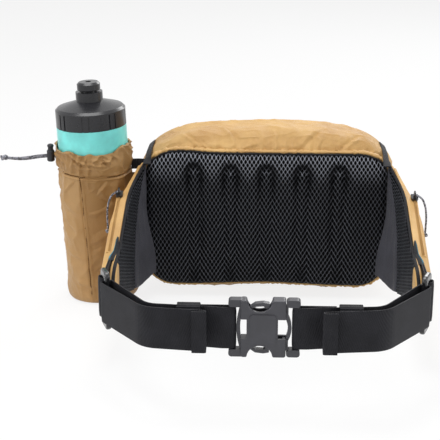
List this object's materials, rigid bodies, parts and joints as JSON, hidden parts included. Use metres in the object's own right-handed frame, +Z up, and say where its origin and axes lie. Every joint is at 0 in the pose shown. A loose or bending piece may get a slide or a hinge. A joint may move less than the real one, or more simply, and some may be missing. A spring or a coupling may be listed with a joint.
{
  "type": "waist pack",
  "caption": "Padded waist pack with zipped hip wings, a webbing belt closed by a side-release buckle, and a drawcord pocket that holds a squeeze bottle.",
  "frame": {"origin": "on the ground, on the centre line, in the face of the padded back panel that lies on the wearer", "axes": "+Z up; +Y away from the wearer, so the belt and buckle lie toward -Y; +X toward the wing opposite the bottle pocket"},
  "size_m": [0.443, 0.3925, 0.2338],
  "materials": {
    "spacer_mesh": "open polyester mesh",
    "foam": "closed-cell foam",
    "black_binding": "grosgrain",
    "tan_cloth": "coated light nylon",
    "grey_cloth": "smooth nylon",
    "zip_tape": "coil zip",
    "zip_metal": "black coated",
    "zip_pull": "moulded",
    "webbing": "flat woven",
    "buckle_plastic": "satin acetal",
    "ring_plastic": "polished",
    "bottle_shell": "soft polyethylene",
    "lid_plastic": "moulded",
    "seal_rubber": "silicone",
    "lock_plastic": "moulded",
    "spring_steel": "spring wire",
    "cord": "braided"
  },
  "bodies": {
    "bag": {"back_panel_binding": "black_binding", "back_panel_foam": "foam", "back_panel_mesh": "spacer_mesh", "belt_keeper_left": "webbing", "belt_keeper_right": "webbing", "belt_strap_left": "webbing", "belt_strap_right": "webbing", "bottle_pocket": "tan_cloth", "buckle_housing": "buckle_plastic", "cord_lock_barrel": "lock_plastic", "cord_lock_spring": "spring_steel", "draw_cord_knot": "cord", "draw_cord_lower": "cord", "draw_cord_upper": "cord", "front_pocket": "tan_cloth", "front_zip_tape": "zip_tape", "ladder_lock_left": "buckle_plastic", "ladder_lock_right": "buckle_plastic", "main_compartment": "tan_cloth", "main_zip_tape": "zip_tape", "pocket_hem": "tan_cloth", "pocket_seam": "tan_cloth", "pocket_tab": "webbing", "shoulder_strap_left": "webbing", "shoulder_strap_right": "webbing", "wing_mesh_pad_left": "spacer_mesh", "wing_mesh_pad_right": "spacer_mesh", "wing_panel_left": "grey_cloth", "wing_panel_right": "grey_cloth", "wing_pocket_left": "tan_cloth", "wing_pocket_right": "tan_cloth", "wing_tab_left": "webbing", "wing_tab_right": "webbing", "wing_zip_tape_left": "zip_tape", "wing_zip_tape_right": "zip_tape"},
    "bottle": {"bottle_body": "bottle_shell"},
    "lid": {"bottle_lid": "lid_plastic", "bottle_gasket": "seal_rubber"},
    "cap": {"bottle_cap": "lid_plastic"},
    "plunger": {"cord_lock_plunger": "lock_plastic"},
    "male_half": {"buckle_frame": "buckle_plastic"},
    "top_arm": {"buckle_arm_top": "buckle_plastic"},
    "bottom_arm": {"buckle_arm_bottom": "buckle_plastic"},
    "ring_left": {"belt_ring_left": "ring_plastic"},
    "ring_right": {"belt_ring_right": "ring_plastic"},
    "wing_slider_left": {"wing_zip_slider_left": "zip_metal"},
    "wing_slider_right": {"wing_zip_slider_right": "zip_metal"},
    "wing_pull_left": {"zip_cord_left": "cord", "zip_knot_left": "cord"},
    "wing_pull_right": {"zip_cord_right": "cord", "zip_knot_right": "cord"},
    "main_slider_left": {"main_zip_slider_left": "zip_metal"},
    "main_slider_right": {"main_zip_slider_right": "zip_metal"},
    "main_pull_left": {"main_zip_pull_left": "zip_pull"},
    "main_pull_right": {"main_zip_pull_right": "zip_pull"},
    "front_slider": {"front_zip_slider": "zip_metal"},
    "front_pull": {"front_zip_pull": "zip_pull"}
  },
  "joints": [
    {"name": "bottle_lift_out", "type": "slide", "parent": "bag", "child": "bottle", "axis": [-0.0419, 0, 0.9991], "range_m": [0, 0.2]},
    {"name": "lid_unscrew", "type": "hinge", "parent": "bottle", "child": "lid", "pos_m": [-0.18373, 0.01, 0.18784], "axis": [-0.0419, 0, 0.9991], "continuous": true},
    {"name": "cap_pull", "type": "slide", "parent": "lid", "child": "cap", "axis": [-0.0419, 0, 0.9991], "range_m": [0, 0.005]},
    {"name": "cord_lock_press", "type": "slide", "parent": "bag", "child": "plunger", "axis": [0, 0, -1], "range_m": [0, 0.003], "stiffness_N_per_m": 350, "springref_m": -0.002, "deforming": ["cord_lock_spring"]},
    {"name": "buckle_release", "type": "slide", "parent": "bag", "child": "male_half", "axis": [1, 0, 0], "range_m": [0, 0.032], "deforming": ["buckle_arm_top", "buckle_arm_bottom", "belt_strap_right"]},
    {"name": "top_arm_squeeze", "type": "hinge", "parent": "male_half", "child": "top_arm", "pos_m": [0.017, -0.265, 0.0958], "axis": [0, -1, 0], "range_deg": [0, 10], "stiffness_Nm_per_rad": 1.1},
    {"name": "bottom_arm_squeeze", "type": "hinge", "parent": "male_half", "child": "bottom_arm", "pos_m": [0.017, -0.265, 0.0642], "axis": [0, 1, 0], "range_deg": [0, 10], "stiffness_Nm_per_rad": 1.1},
    {"name": "ring_turn_left", "type": "hinge", "parent": "bag", "child": "ring_left", "pos_m": [-0.1464, -0.199, 0.08], "axis": [0, 0, 1], "range_deg": [-5, 5]},
    {"name": "ring_turn_right", "type": "hinge", "parent": "bag", "child": "ring_right", "pos_m": [0.1464, -0.199, 0.08], "axis": [0, 0, 1], "range_deg": [-5, 5]},
    {"name": "wing_zip_left", "type": "slide", "parent": "bag", "child": "wing_slider_left", "axis": [0, -0.9551, -0.2964], "range_m": [0, 0.086]},
    {"name": "wing_zip_right", "type": "slide", "parent": "bag", "child": "wing_slider_right", "axis": [0, -0.9551, -0.2964], "range_m": [0, 0.086]},
    {"name": "wing_pull_swing_left", "type": "hinge", "parent": "wing_slider_left", "child": "wing_pull_left", "pos_m": [-0.1495, -0.04658, 0.13256], "axis": [0, 1, 0], "range_deg": [0, 55]},
    {"name": "wing_pull_swing_right", "type": "hinge", "parent": "wing_slider_right", "child": "wing_pull_right", "pos_m": [0.1495, -0.04658, 0.13256], "axis": [0, -1, 0], "range_deg": [0, 55]},
    {"name": "main_zip_left", "type": "slide", "parent": "bag", "child": "main_slider_left", "axis": [-1, 0, 0], "range_m": [0, 0.075]},
    {"name": "main_zip_right", "type": "slide", "parent": "bag", "child": "main_slider_right", "axis": [1, 0, 0], "range_m": [0, 0.075]},
    {"name": "main_pull_lift_left", "type": "hinge", "parent": "main_slider_left", "child": "main_pull_left", "pos_m": [-0.0055, 0.08303, 0.17103], "axis": [0, 0.7071, -0.7071], "range_deg": [0, 140]},
    {"name": "main_pull_lift_right", "type": "hinge", "parent": "main_slider_right", "child": "main_pull_right", "pos_m": [0.0055, 0.08303, 0.17103], "axis": [0, -0.7071, 0.7071], "range_deg": [0, 140]},
    {"name": "front_zip", "type": "slide", "parent": "bag", "child": "front_slider", "axis": [-1, 0, 0], "range_m": [0, 0.104]},
    {"name": "front_pull_lift", "type": "hinge", "parent": "front_slider", "child": "front_pull", "pos_m": [0.053, 0.1004, 0.1335], "axis": [0, 1, 0], "range_deg": [0, 160]}
  ]
}
